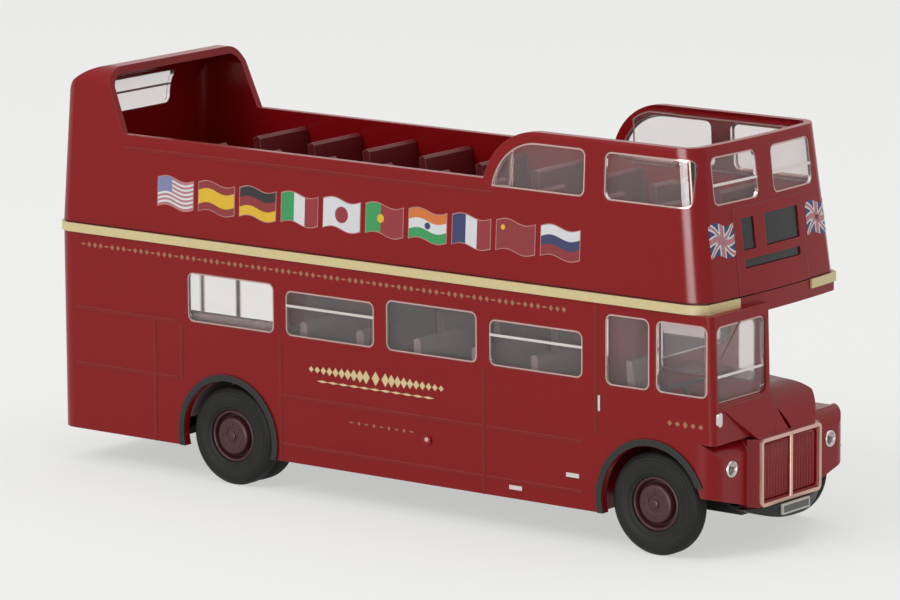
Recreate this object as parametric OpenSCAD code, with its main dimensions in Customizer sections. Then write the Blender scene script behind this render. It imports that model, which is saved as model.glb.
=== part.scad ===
// Scale model of an open-top half-cab double decker bus with an open rear platform.
// Frame: +X forward, +Y to the nearside (kerb side), +Z up, origin on the ground under the middle.

/* [Overall size] */
// Length over the rear band and the front plate
bus_length = 98; // [94:0.1:102]
// Width over the waist band and the wheel-arch lips
bus_width = 28; // [26:0.1:31]
// Distance between the axles
wheelbase = 61; // [57:0.1:63]
// Front axle to the face of the front plate
front_overhang = 10.3; // [10:0.1:11.5]

/* [Heights] */
// Ground to the lower edge of the side skirts
skirt_z = 4.1; // [3.5:0.1:4.6]
// Ground to the lower edge of the waist band
band_z = 28.1; // [27:0.1:31]
// Height of the waist band
band_h = 1.05; // [0.6:0.05:1.6]
// Waist band to the top of the upper side rail
rail_h = 11.3; // [10.5:0.05:13]
// Upper side rail to the top of the front screen
screen_h = 5.85; // [5.5:0.05:6.4]
// Upper side rail to the top of the rear dome
dome_h = 7.55; // [7:0.05:9]

/* [Shell] */
// Wall thickness of the body mouldings
wall = 0.9; // [0.6:0.05:1.2]
// How far the waist band and the wheel-arch lips stand proud of the side
lip = 0.25; // [0.15:0.05:0.4]
// How far the panel beads stand proud of the side
bead = 0.1; // [0.05:0.01:0.15]
// Corner radius of the lower body at the rear
rear_corner_r = 2.4; // [1.5:0.1:3.5]
// Corner radius of the upper body at the front
front_corner_r = 3; // [2:0.1:3.5]
// Backward lean of the upper front, in degrees
front_rake = 7; // [3:0.5:9]
// Inward lean of the upper sides, in degrees
tumblehome = 3.1; // [1:0.1:4]
// Plan radius of the bowed upper front
front_bow_r = 135; // [100:5:200]
// Dark seam between the lower and the upper moulding
seam = 0.15; // [0.1:0.05:0.3]

/* [Saloon windows] */
// Rear panel to the first saloon window
window_first = 20.6; // [19:0.1:22]
// Distance from one saloon window to the next
window_pitch = 14.83; // [14.4:0.01:15]
// Width of a saloon window
window_w = 13.15; // [11:0.05:13.6]
// Height of a fixed saloon window
window_h = 6; // [5:0.1:6.6]
// How much lower the half-drop windows end
window_drop = 0.55; // [0.3:0.05:0.9]
// Ground to the window sills
window_sill_z = 19.1; // [18:0.1:20]
// Corner radius of the windows
window_r = 0.9; // [0.5:0.1:1.2]
// Clearance round the glazing in its openings
glass_gap = 0.05; // [0.03:0.01:0.1]
// Thickness of the glazing strip behind the wall
glass_t = 0.5; // [0.3:0.05:0.7]
// How far the panes sit below the outer face
glass_recess = 0.12; // [0.05:0.01:0.3]

/* [Wheels] */
// Outer radius of the tyres
tyre_r = 5.9; // [5.5:0.05:6.1]
// Width of one tyre
tyre_w = 2.7; // [2.2:0.1:3]
// Radius of the rim at the tyre's bead
rim_r = 3.7; // [3.2:0.05:4]
// Radius of the wheel-arch openings
arch_r = 6.75; // [6.5:0.05:6.9]
// Width of the black wheel-arch lip
arch_lip = 0.75; // [0.4:0.05:1]
// Radius of the axles
axle_r = 0.75; // [0.6:0.05:0.9]
// Radial running clearance of the axles in the chassis
axle_fit = 0.04; // [0.02:0.01:0.08]

/* [Seats] */
// Distance from one seat row to the next
seat_pitch = 8.35; // [8:0.05:8.6]
// Width of a double seat
seat_w = 9; // [8:0.1:9.3]
// Height of an upper-deck seat above its floor
seat_h = 8.6; // [7:0.1:9]
// Height of a seat cushion above the floor
cushion_h = 3.8; // [3:0.1:4.5]

/* [Hidden] */
$fn = 48;

red = "firebrick";
cream = "wheat";
black = "#222222";
silver = "silver";
clear = "lightsteelblue";
maroon = "#4A2228";
grey = "dimgray";
// Overshoot of cutting solids beyond the faces they cut
over = 1;

// Lengthwise places
front_x = bus_length / 2;
rear_x = -bus_length / 2;
body_rear_x = rear_x + lip;
front_axle_x = front_x - front_overhang;
rear_axle_x = front_axle_x - wheelbase;
canopy_x = front_x - 2.95;
cab_front_x = front_x - 1.85;
bulkhead_x = front_x - 17.6;
wing_front_x = front_x - 2.15;
nose_x = front_x - 1;
wing_back_x = front_axle_x + 6.1;
platform_x = rear_x + 13.8;

// Widths
half = bus_width / 2 - lip;
upper_half = half - 0.1;
cab_in_y = -0.19 * half;
cab_mid_y = (cab_in_y - half) / 2;
bonnet_y = 0.54 * half;
platform_y = 0.25 * half;

// Wheels: the outer face of each tyre lies just inside the body side
tyre_y = half - 0.35;
twin_gap = 0.3;
twin_w = 2 * tyre_w + twin_gap;
// Clearance between the inner tyres and the wheel boxes, and the thickness of those
tyre_gap = 0.4;
wheel_box_t = 0.7;
wheel_box_y = tyre_y - twin_w - tyre_gap - wheel_box_t;
// Clearance between the chassis frame and the mouldings round it
frame_gap = 0.1;
frame_half = wheel_box_y - frame_gap;

// Heights
axle_z = tyre_r;
deck_z = band_z + band_h;
rail_z = deck_z + rail_h;
screen_z = rail_z + screen_h;
dome_z = rail_z + dome_h;
canopy_z = band_z - 1.1;
floor_z = 8.2;
platform_z = 6.9;
cab_floor_z = axle_z + arch_r + 1.2;
cab_sill_z = window_sill_z - 0.3;
scuttle_z = cab_sill_z - 0.9;
wing_z = axle_z + arch_r + arch_lip + 0.2;
bonnet_z = 17.8;
// Lower edge of the front valance beside the grille, and how much higher it ends at the side
valance_z = 5.5;
valance_rise = 2.3;
pan_z = 4.4;
frame_top_z = floor_z - 0.9;

// Upper deck
upper_z = deck_z + seam;
upper_floor_t = 0.9;
screen_arc_r = 7.5;
screen_arc_x = front_x - 26.8;
dome_r = 3;
// Back of the dome: how far it leans forward up to the bend, and the radius of the bend
dome_lean = 0.5;
dome_back_r = 6;
dome_bend_x = body_rear_x + dome_lean + dome_back_r;
dome_bend_z = dome_z - dome_back_r + 0.04;
rear_lean = atan(dome_lean / (dome_bend_z - deck_z));
dome_cut_x = rear_x + 7.5;
dome_foot_x = rear_x + 10.9;

// Rounded rectangle between two corners
module rounded(x0, y0, x1, y1, r) {
    translate([x0 + r, y0]) square([x1 - x0 - 2 * r, y1 - y0]);
    translate([x0, y0 + r]) square([x1 - x0, y1 - y0 - 2 * r]);
    for (x = [x0 + r, x1 - r], y = [y0 + r, y1 - r])
        translate([x, y]) circle(r);
}

// Plan outline raised from z0 to z1
module raised(z0, z1) {
    translate([0, 0, z0]) linear_extrude(z1 - z0) children();
}

// Side outline (X, Z) carried across from y0 to y1
module across(y0, y1) {
    translate([0, y1, 0]) rotate([90, 0, 0]) linear_extrude(y1 - y0) children();
}

// Cross section (Y, Z) carried along from x0 to x1
module along(x0, x1) {
    translate([x0, 0, 0]) rotate([90, 0, 90]) linear_extrude(x1 - x0) children();
}

// Box between two corners
module block(low, high) {
    translate(low) cube(high - low);
}

// Round bar or hole across the bus
module cross_bar(x, z, r, y0, y1) {
    translate([x, y1, z]) rotate([90, 0, 0]) cylinder(r = r, h = y1 - y0);
}

// Rear edge of a saloon window, counted from the rear
function window_x(i) = rear_x + window_first + i * window_pitch;
// Top of a saloon window: every second one is a half-drop window and ends lower
function window_top(i) = window_sill_z + window_h - (i % 2) * window_drop;
window_count = 4;

module saloon_window(i, gap) {
    rounded(window_x(i) + gap, window_sill_z + gap, window_x(i) + window_w - gap,
        window_top(i) - gap, window_r - gap);
}

// Side windows of the cab: rear edge, front edge, sill and top
cab_windows = [[bulkhead_x + 0.9, front_axle_x - 0.3, cab_sill_z, canopy_z],
    [front_axle_x + 0.5, cab_front_x - 0.9, cab_sill_z, canopy_z]];

module cab_side_window(w, gap) {
    rounded(w[0] + gap, w[2] + gap, w[1] - gap, w[3] - gap, window_r - gap);
}

module windscreen(gap) {
    rounded(-half + 1 + gap, cab_sill_z - 0.7 + gap, cab_in_y - 0.6 - gap, canopy_z - 0.15 - gap,
        window_r - gap);
}

// Window in the inner side of the cab, over the bonnet
module cab_inner_window(gap) {
    rounded(bulkhead_x + 1.4 + gap, bonnet_z + 1.2 + gap, cab_front_x - 1.9 - gap,
        canopy_z - 0.6 - gap, window_r - gap);
}

module bulkhead_window(gap) {
    rounded(cab_in_y + 1.4 + gap, window_sill_z + 0.5 + gap, half - 1.8 - gap, canopy_z - 1.2 - gap,
        window_r - gap);
}

// Window in the rear wall, beside the platform
module platform_window(gap) {
    rounded(-0.24 * half + gap, window_sill_z + gap, platform_y - 1 - gap, window_top(0) - gap,
        window_r - gap);
}

// Plan of the saloon and the canopy over the bonnet, drawn in by inset
module saloon_plan(inset) {
    rounded(body_rear_x + inset, -half + inset, bulkhead_x - inset, half - inset,
        rear_corner_r - inset);
    translate([bulkhead_x - rear_corner_r - inset, -half + inset])
        square([rear_corner_r, 2 * half - 2 * inset]);
}

module canopy_plan(inset) {
    intersection() {
        rounded(bulkhead_x - 9, -half + inset, canopy_x - inset, half - inset, front_corner_r - inset);
        translate([canopy_x - front_bow_r, 0]) circle(front_bow_r - inset, $fn = 360);
    }
}

// Front face of the cab, which leans back a little on its way up
cab_lean = 0.4;
function cab_face_x(z) = cab_front_x - cab_lean * (z - wing_z) / (band_z - wing_z);

// Faint crease where a rounded corner runs out into a flat face
crease = 0.05;
cab_corner_r = 0.9;

// Side outline of the cab shell
module cab_outline() {
    polygon([[bulkhead_x - wall, skirt_z], [wing_back_x, skirt_z], [wing_back_x, wing_z],
        [cab_front_x, wing_z], [cab_face_x(band_z), band_z], [bulkhead_x - wall, band_z]]);
}

// Upright prism that rounds the cab's outer front corner
module cab_corner() {
    translate([cab_front_x, 0, wing_z]) rotate([0, -atan(cab_lean / (band_z - wing_z)), 0])
        translate([0, 0, -wing_z]) linear_extrude(2 * band_z)
            rounded(-bus_length, -half - crease / 2, crease / 2, bus_width, cab_corner_r);
}

module lower_outer() {
    raised(skirt_z, deck_z) saloon_plan(0);
    intersection() {
        across(-half, cab_in_y) cab_outline();
        cab_corner();
    }
    raised(canopy_z, deck_z) canopy_plan(0);
}

module lower_hollows() {
    raised(skirt_z - over, deck_z + over) saloon_plan(wall);
    block([bulkhead_x, -half + wall, skirt_z - over],
        [cab_face_x(band_z) - wall, cab_in_y - wall, cab_floor_z - wall]);
    block([bulkhead_x, -half + wall, cab_floor_z],
        [cab_face_x(band_z) - wall, cab_in_y - wall, deck_z + over]);
    raised(canopy_z + wall, deck_z + over)
        intersection() {
            canopy_plan(wall);
            translate([bulkhead_x, -half]) square([40, 2 * half]);
        }
}

// Raised panel beads on the side: rear end, front end, height
side_beads = [[body_rear_x + 3, rear_axle_x - 7.6, 18.8], [body_rear_x + 3, rear_axle_x - 7.6, 12],
    [rear_axle_x + 8, bulkhead_x - 2.2, 11.8], [rear_axle_x + 8, bulkhead_x - 2.2, 6]];
// Upright beads at the panel joints: place and lower end
upright_beads = [[rear_axle_x - 11.3, skirt_z], [rear_axle_x - 7.2, 12],
    [window_x(1) - 0.85, skirt_z], [window_x(3) - 0.85, skirt_z]];
bead_w = 0.3;
// Rear edge of the cab door
door_edge_x = bulkhead_x - 0.45;

module lower_beads() {
    block([door_edge_x, -half - bead, wing_z - 0.5], [door_edge_x + bead_w, -half + bead, band_z - 0.4]);
    for (side = [-1, 1])
        for (b = side_beads)
            if (side < 0 || b[0] > platform_x)
                block([b[0], side * half - bead, b[2]], [b[1], side * half + bead, b[2] + bead_w]);
    for (side = [-1, 1])
        for (b = upright_beads)
            if (side < 0 || b[0] > platform_x)
                block([b[0], side * half - bead, b[1]],
                    [b[0] + bead_w, side * half + bead, window_sill_z - 0.6]);
}

module lower_body() color(red) difference() {
    union() {
        difference() {
            lower_outer();
            lower_hollows();
        }
        lower_beads();
    }
    for (i = [0 : window_count - 1])
        across(-half - over, half + over) saloon_window(i, 0);
    for (w = cab_windows)
        across(-half - over, -half + wall + over) cab_side_window(w, 0);
    along(cab_front_x - 3, cab_front_x + over) windscreen(0);
    along(bulkhead_x - wall - over, bulkhead_x + over) bulkhead_window(0);
    across(cab_in_y - wall - over, cab_in_y + over) cab_inner_window(0);
    along(rear_x - over, body_rear_x + wall + over) platform_window(0);
    // Open platform at the rear nearside corner
    block([rear_x - over, platform_y, platform_z], [platform_x, half + over, canopy_z - 0.6]);
    cross_bar(rear_axle_x, axle_z, arch_r, -half - over, half + over);
    cross_bar(front_axle_x, axle_z, arch_r, -half - over, cab_in_y - wall);
    // Room for the chassis frame under the cab and the bulkhead
    block([bulkhead_x - wall - over, -frame_half - frame_gap, skirt_z - over],
        [front_x, frame_half + frame_gap, frame_top_z]);
}

// Side outline of the upper body up to the open top
module upper_outline() {
    translate([dome_cut_x, upper_z]) square([front_x - dome_cut_x, rail_z - upper_z]);
    translate([screen_arc_x, upper_z]) square([front_x - screen_arc_x, screen_z - upper_z]);
    intersection() {
        translate([screen_arc_x, screen_z - screen_arc_r]) circle(screen_arc_r, $fn = 96);
        translate([screen_arc_x - screen_arc_r, rail_z - over]) square([screen_arc_r + over, screen_h + over]);
    }
    intersection() {
        dome_outline(0, upper_z);
        polygon([[rear_x - over, upper_z - over], [dome_foot_x, upper_z - over],
            [dome_foot_x, rail_z - over], [dome_cut_x + 0.4, dome_z - wall - 0.3],
            [dome_cut_x, dome_z + over], [rear_x - over, dome_z + over]]);
    }
}

// Side outline of the leaning back and its bend into the dome, drawn in by inset and open forward
module dome_outline(inset, foot_z) {
    polygon([[body_rear_x + inset, foot_z], [front_x, foot_z], [front_x, dome_z + over],
        [dome_bend_x, dome_z + over], [dome_bend_x, dome_bend_z],
        [body_rear_x + dome_lean + inset, dome_bend_z]]);
    translate([dome_bend_x, dome_bend_z]) circle(dome_back_r - inset, $fn = 96);
}

module upper_hollow_outline(inset) {
    dome_outline(inset, upper_z - over);
}

// Leaning prisms start this far below the deck, and are this tall
prism_low = 20;
prism_h = 80;

// Bowed front leaned back, drawn in by inset
module upper_bow(inset) {
    translate([canopy_x, 0, deck_z]) rotate([0, -front_rake, 0]) translate([-front_bow_r, 0, -prism_low])
        cylinder(r = front_bow_r - inset, h = prism_h, $fn = 360);
}

// How far the bow falls back up to the rounded corners, which stand a trace proud of it
corner_run = front_bow_r - front_corner_r;
corner_x = sqrt(corner_run * corner_run - pow(upper_half - front_corner_r, 2)) - corner_run + 0.1;

// One leaning side with its rounded front corner, drawn in by inset
module upper_front_corner(inset) {
    translate([canopy_x, upper_half, deck_z]) rotate([tumblehome, 0, 0]) rotate([0, -front_rake, 0])
        translate([0, 0, -prism_low]) linear_extrude(prism_h) {
            rounded(-bus_length - 20, -2 * bus_width, corner_x - inset, -inset, front_corner_r - inset);
            translate([-20, -2 * bus_width]) square([25, 2 * bus_width - front_corner_r]);
        }
}

// Front and sides of the upper body, drawn in by inset
module upper_leaning(inset) {
    intersection() {
        upper_bow(inset);
        upper_front_corner(inset);
        mirror([0, 1, 0]) upper_front_corner(inset);
    }
}

// One leaning side with its rounded rear corner, drawn in by inset
module upper_rear_corner(inset) {
    translate([body_rear_x, upper_half + crease, deck_z]) rotate([tumblehome, 0, 0])
        rotate([0, rear_lean, 0]) translate([0, 0, -prism_low]) linear_extrude(prism_h) {
            rounded(inset - crease, -2 * bus_width, bus_length + 20, -inset, rear_corner_r - inset);
            translate([-5, -2 * bus_width]) square([25, 2 * bus_width - rear_corner_r]);
        }
}

// Cross section with leaning sides and the dome's rounded shoulders, drawn in by inset
module dome_section(inset) {
    r = dome_r - inset;
    side = upper_half - inset + 2 * crease;
    top = dome_z - inset;
    lean = tan(tumblehome);
    y = side - (top - r - deck_z) * lean - r / cos(tumblehome);
    foot = side + 20 * lean;
    edge = [y + r * cos(tumblehome), top - r + r * sin(tumblehome)];
    along(rear_x - over, front_x + over) {
        polygon([[-foot, deck_z - 20], [foot, deck_z - 20], edge, [y, top - r], [y, top], [-y, top],
            [-y, top - r], [-edge[0], edge[1]]]);
        for (c = [-y, y])
            translate([c, top - r]) circle(r);
    }
}

module upper_shape(inset) {
    intersection() {
        upper_leaning(inset);
        upper_rear_corner(inset);
        mirror([0, 1, 0]) upper_rear_corner(inset);
        dome_section(inset);
    }
}

// Windows of the front screen: inner edge and outer edge from the middle
screen_post = 1.4;
screen_edge = 0.71 * half;
screen_sill_z = rail_z - 0.85;
screen_head_z = screen_z - 1.2;
screen_pillar_x = front_x - 18.7;

module screen_front_window(gap) {
    rounded(screen_post + gap, screen_sill_z + gap, screen_edge - gap, screen_head_z - gap,
        window_r - gap);
}

// Side pane of the screen with a quarter-round rear end, and the pane before it
module screen_side_windows(gap) {
    intersection() {
        rounded(screen_arc_x - screen_arc_r, screen_sill_z + gap, screen_pillar_x - 1.3 - gap,
            screen_head_z - gap, window_r - gap);
        union() {
            translate([screen_arc_x, screen_z - screen_arc_r])
                circle(screen_arc_r - 1.2 - gap, $fn = 96);
            translate([screen_arc_x, screen_sill_z]) square([20, screen_h]);
        }
    }
    rounded(screen_pillar_x + 1.3 + gap, screen_sill_z + gap, canopy_x - 2.75 - gap,
        screen_head_z - gap, window_r - gap);
}

module screen_windows(gap) {
    for (side = [0, 1])
        mirror([0, side, 0]) along(canopy_x - 6, front_x) screen_front_window(gap);
    for (side = [0, 1])
        mirror([0, side, 0]) across(upper_half - 2.2, half + over) screen_side_windows(gap);
}

rear_window_w = 0.9 * half;
rear_window_z = [rail_z + 0.6, rail_z + 4.9];

module rear_window_cut(gap) {
    along(rear_x - over, rear_x + 5.4)
        rounded(-rear_window_w / 2 + gap, rear_window_z[0] + gap, rear_window_w / 2 - gap,
            rear_window_z[1] - gap, window_r - gap);
}

module upper_solid() {
    intersection() {
        across(-half, half) upper_outline();
        upper_shape(0);
    }
}

module upper_hollow() {
    intersection() {
        across(-half, half) upper_hollow_outline(wall);
        upper_shape(wall);
    }
}

// Recesses for the destination blinds: left, right, bottom and top, seen from the front
blinds = [[-5.5, -3.1, deck_z + 5.05, deck_z + 8.65], [-1.1, 5.7, deck_z + 5.05, deck_z + 8.65],
    [-5.5, 5.5, deck_z + 3.05, deck_z + 4.05]];
blind_depth = 0.3;

module blind_shapes(gap) {
    for (b = blinds)
        along(canopy_x - 6, front_x) translate([b[0] + gap, b[2] + gap])
            square([b[1] - b[0] - 2 * gap, b[3] - b[2] - 2 * gap]);
}

// Bead along the upper side, under the rail
rail_bead_z = rail_z - 1.7;
rail_bead_y = upper_half - (rail_bead_z - deck_z) * tan(tumblehome);

// Panel that carries the blinds, a bead's height proud of the bowed front
panel_half = 6.8;
panel_top_z = deck_z + 9.9;

module blind_panel() {
    intersection() {
        difference() {
            upper_bow(-bead);
            upper_bow(blind_depth);
        }
        along(canopy_x - 6, front_x) translate([-panel_half, upper_z])
            square([2 * panel_half, panel_top_z - upper_z]);
    }
}

module upper_body() color(red) difference() {
    union() {
        blind_panel();
        difference() {
            upper_solid();
            upper_hollow();
        }
        for (side = [-1, 1])
            block([dome_foot_x, side * rail_bead_y - bead, rail_bead_z],
                [screen_arc_x - 6, side * rail_bead_y + bead, rail_bead_z + bead_w]);
    }
    screen_windows(0);
    rear_window_cut(0);
    difference() {
        blind_shapes(0);
        upper_leaning(blind_depth);
    }
}

// Headlamps: distance from the middle, height and radius
lamp_y = 0.716 * half;
lamp_z = 10.4;
lamp_r = 1;

// Bonnet, front wings and the panel that carries the headlamps
grille_w = 0.87 * half;
grille_z = [5.4, 13.2];
nose_r = 5;
bonnet_rise = 0.8;
bonnet_shoulder_r = 2.6;
bonnet_corner_r = 4;
bonnet_slope = atan(bonnet_rise / (nose_x - nose_r - bulkhead_x));

module bonnet_outline() {
    polygon([[bulkhead_x, frame_top_z], [wing_front_x, frame_top_z],
        [nose_x, bonnet_z - nose_r], [nose_x - nose_r, bonnet_z],
        [bulkhead_x, bonnet_z + bonnet_rise]]);
    intersection() {
        translate([nose_x - nose_r, bonnet_z - nose_r]) circle(nose_r);
        translate([nose_x - nose_r, bonnet_z - nose_r]) square(nose_r);
    }
}

// Bonnet with its shoulder rounded along the slope and its front corner rounded in plan
module bonnet_top() {
    intersection() {
        across(cab_in_y, bonnet_y) bonnet_outline();
        translate([bulkhead_x, 0, bonnet_z + bonnet_rise]) rotate([0, bonnet_slope, 0])
            along(-over, front_x - bulkhead_x)
                rounded(-bus_width, -bus_width, bonnet_y + 2 * crease, crease, bonnet_shoulder_r);
        raised(0, band_z)
            rounded(bulkhead_x - 9, -bus_width, nose_x + 0.3, bonnet_y + crease, bonnet_corner_r);
    }
}

// Panel that slopes from the windscreen down to the top of the grille
module scuttle() {
    intersection() {
        across(-half, half)
            polygon([[cab_front_x, wing_z - 2], [nose_x - crease, wing_z - 2],
                [nose_x - crease, grille_z[1]], [cab_face_x(scuttle_z), scuttle_z], [cab_front_x, wing_z]]);
        along(cab_front_x - over, front_x)
            polygon([[-half + 1.2, scuttle_z], [cab_in_y, scuttle_z + crease], [0.2, grille_z[1]],
                [0.2, wing_z - 3], [-grille_w / 2, wing_z - 3], [-grille_w / 2, grille_z[1]]]);
    }
}

// Groove between the scuttle and the bonnet
groove_w = 0.45;

module scuttle_groove() {
    along(cab_front_x - 0.3, front_x)
        polygon([[cab_in_y - groove_w, scuttle_z + 0.3], [cab_in_y + 0.1, scuttle_z + 0.3],
            [groove_w, grille_z[1] + 0.2], [-groove_w / 2, grille_z[1] + 0.2]]);
}

// Valance with the headlamps: its lower edge rises to the side, its corners and its top are rounded
wing_r = 2.4;

module wing_panel() {
    intersection() {
        raised(0, wing_z)
            intersection() {
                rounded(bulkhead_x, -half, wing_front_x, half, wing_r);
                translate([wing_back_x, -half - over]) square([20, 2 * half + 2 * over]);
            }
        across(-half - over, half + over)
            rounded(bulkhead_x, -20, wing_front_x + crease, wing_z + crease, wing_r);
        along(wing_back_x - over, front_x)
            polygon([[-half - over, wing_z + over], [-half - over, valance_z + valance_rise],
                [-grille_w / 2, valance_z], [grille_w / 2, valance_z],
                [half + over, valance_z + valance_rise], [half + over, wing_z + over]]);
    }
}

module nearside_wing() {
    intersection() {
        union() {
            block([bulkhead_x, frame_half + frame_gap, skirt_z], [front_axle_x, half, wing_z]);
            block([front_axle_x - 1, frame_half + frame_gap, valance_z + valance_rise],
                [wing_back_x + 0.5, half, wing_z]);
        }
        along(bulkhead_x, front_x) rounded(-half, -5, half, wing_z, 1);
    }
}

// Radiator shell, which stands forward of the valance on slanting sides
shell_half = grille_w / 2 + 0.8;

module radiator_shell() {
    intersection() {
        raised(0, band_z)
            polygon([[wing_front_x - 1, -shell_half], [wing_front_x, -shell_half],
                [nose_x, -grille_w / 2 - 0.1], [nose_x, grille_w / 2 + 0.1], [wing_front_x, shell_half],
                [wing_front_x - 1, shell_half]]);
        along(wing_front_x - 2, nose_x + over)
            rounded(-half, grille_z[0], half, grille_z[1], 0.8);
    }
}

module bonnet() color(red) difference() {
    union() {
        wing_panel();
        nearside_wing();
        bonnet_top();
        scuttle();
        radiator_shell();
    }
    for (y = [[-half - over, -bonnet_y], [bonnet_y, half + over]])
        cross_bar(front_axle_x, axle_z, arch_r, y[0], y[1]);
    cross_bar(front_axle_x, axle_z, axle_r + frame_gap * 4, -half, half);
    for (y = [-lamp_y, lamp_y])
        translate([wing_front_x - 0.4, y, lamp_z]) rotate([0, 90, 0]) cylinder(r = lamp_r + glass_gap, h = 5);
    scuttle_groove();
    // Sunk field for the slats
    along(nose_x - 0.4, front_x)
        rounded(-grille_w / 2 + 0.6, grille_z[0] + 0.6, grille_w / 2 - 0.6, grille_z[1] - 0.6, 0.5);
}

module waist_band() color(cream) difference() {
    raised(band_z, deck_z) {
        saloon_band(-lip);
        canopy_band(-lip);
    }
    raised(band_z - over, deck_z + over) {
        saloon_band(0);
        canopy_band(0);
    }
    block([canopy_x - 2, -7.1, 0], [front_x, 7.1, deck_z + over]);
}

// Outline of the whole waist, drawn out by a negative inset
module saloon_band(inset) {
    rounded(body_rear_x + inset, -half + inset, bulkhead_x, half - inset, rear_corner_r - inset);
}

module canopy_band(inset) {
    canopy_plan(inset);
}

module arch_lips() color(black)
    for (side = [0, 1], x = [rear_axle_x, front_axle_x])
        mirror([0, side, 0]) difference() {
            cross_bar(x, axle_z, arch_r + arch_lip, half, half + lip);
            cross_bar(x, axle_z, arch_r, half - over, half + lip + over);
            block([x - 20, half - over, -20], [x + 20, half + lip + over, skirt_z]);
            if (x > 0)
                block([x, half - over, -20], [x + 20, half + lip + over, valance_z + valance_rise + 0.9]);
        }

slat_count = 15;

module grille_slats() color(red) {
    field = grille_w - 1.4;
    along(nose_x - 0.4, nose_x - 0.25)
        rounded(-field / 2, grille_z[0] + 0.7, field / 2, grille_z[1] - 0.7, 0.4);
    for (i = [0 : slat_count - 1]) {
        y = -field / 2 + (i + 0.5) * field / slat_count;
        block([nose_x - 0.25, y - 0.17, grille_z[0] + 1], [nose_x - 0.05, y + 0.17, grille_z[1] - 1]);
    }
}

module grille_frame() color(cream) {
    difference() {
        along(nose_x, nose_x + 0.3)
            rounded(-grille_w / 2, grille_z[0], grille_w / 2, grille_z[1], 0.8);
        along(nose_x - over, front_x)
            rounded(-grille_w / 2 + 0.5, grille_z[0] + 0.5, grille_w / 2 - 0.5, grille_z[1] - 0.5, 0.5);
    }
    block([nose_x, -0.3, grille_z[0] + 0.2], [nose_x + 0.3, 0.3, grille_z[1] - 0.2]);
}

module headlamps() color(silver)
    for (y = [-lamp_y, lamp_y])
        translate([wing_front_x - 0.4, y, lamp_z]) rotate([0, 90, 0]) cylinder(r = lamp_r, h = 0.6);

side_lamp_z = 16.5;

module side_lamp() color(silver)
    translate([cab_face_x(side_lamp_z), -half + 0.95, side_lamp_z]) rotate([0, 90, 0])
        linear_extrude(0.3) rounded(-0.8, -0.4, 0.8, 0.4, 0.39);

// Black chin under the grille: bowed in plan, with a lower edge that curves up to the sides
bumper_x = front_x - 0.4;
bumper_back_x = wing_back_x + 1.2;
bumper_bow_r = 16;
bumper_half = 0.6 * half;
bumper_z = [3.65, valance_z - 0.2];
bumper_curve_r = 19;

module front_bumper() color(black)
    intersection() {
        raised(0, bumper_z[1])
            intersection() {
                translate([bumper_x + 0.25 - bumper_bow_r, 0]) circle(bumper_bow_r, $fn = 96);
                translate([bumper_back_x, -bumper_half])
                    square([bumper_x - bumper_back_x, 2 * bumper_half]);
            }
        along(bumper_back_x - over, front_x)
            translate([0, bumper_z[0] + bumper_curve_r]) circle(bumper_curve_r, $fn = 180);
    }

module front_plate() color(silver)
    along(bumper_x, front_x) rounded(-2.7, 4.1, 2.7, 5.3, 0.2);

// Moulded glazing strip: a plate behind the wall with a pane standing in each opening
module glazing_strip(side) {
    inner = half - wall;
    mirror([0, side < 0 ? 1 : 0, 0]) {
        block([window_x(0) - 0.7, inner - glass_t, window_sill_z - 0.7],
            [window_x(3) + window_w + 0.7, inner, window_top(0) + 0.7]);
        for (i = [0 : window_count - 1])
            across(inner - 0.1, half - glass_recess) saloon_window(i, glass_gap);
    }
}

module offside_glazing() color(clear) glazing_strip(-1);
module nearside_glazing() color(clear) glazing_strip(1);

module cab_glazing() color(clear) {
    inner = half - wall;
    block([cab_windows[0][0] - 0.2, -inner, cab_windows[0][2] - 0.5],
        [cab_windows[1][1] - 0.9, -inner + glass_t, cab_windows[1][3] + 0.5]);
    for (w = cab_windows)
        across(-half + glass_recess, -inner + 0.1) cab_side_window(w, glass_gap);
    along(cab_face_x(band_z) - wall, cab_face_x(band_z) - glass_recess) windscreen(glass_gap);
    across(cab_in_y - wall + 0.1, cab_in_y - glass_recess) cab_inner_window(glass_gap);
}

module bulkhead_glazing() color(clear)
    along(bulkhead_x - wall + 0.1, bulkhead_x - glass_recess) bulkhead_window(glass_gap);

module upper_glazing() color(clear) {
    intersection() {
        difference() {
            upper_leaning(wall);
            upper_leaning(wall + glass_t);
        }
        block([screen_arc_x - 4, -bus_width, screen_sill_z - 0.4],
            [front_x, bus_width, screen_head_z + 0.4]);
        across(-half, half) upper_glass_outline();
    }
    intersection() {
        difference() {
            upper_leaning(glass_recess);
            upper_leaning(wall + 0.1);
        }
        screen_windows(glass_gap);
    }
}

module upper_glass_outline() {
    translate([screen_arc_x, screen_sill_z - 1]) square([40, screen_h + 1]);
    translate([screen_arc_x, screen_z - screen_arc_r]) circle(screen_arc_r - 0.6, $fn = 96);
}

module rear_window() color(clear) {
    along(body_rear_x + glass_recess, body_rear_x + wall - 0.1) platform_window(glass_gap);
    intersection() {
        rear_window_cut(glass_gap);
        difference() {
            across(-half, half) upper_hollow_outline(glass_recess);
            across(-half - over, half + over) upper_hollow_outline(wall - 0.1);
        }
    }
}

// Bars on the panes: half-drop rails, windscreen bar, and bars across the front and rear windows
bar_h = 0.3;
bar_t = 0.08;
bar_gap = 0.1;

module bar_across(y0, y1, z) {
    along(rear_x, front_x) translate([y0 + bar_gap, z]) square([y1 - y0 - 2 * bar_gap, bar_h]);
}

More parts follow.
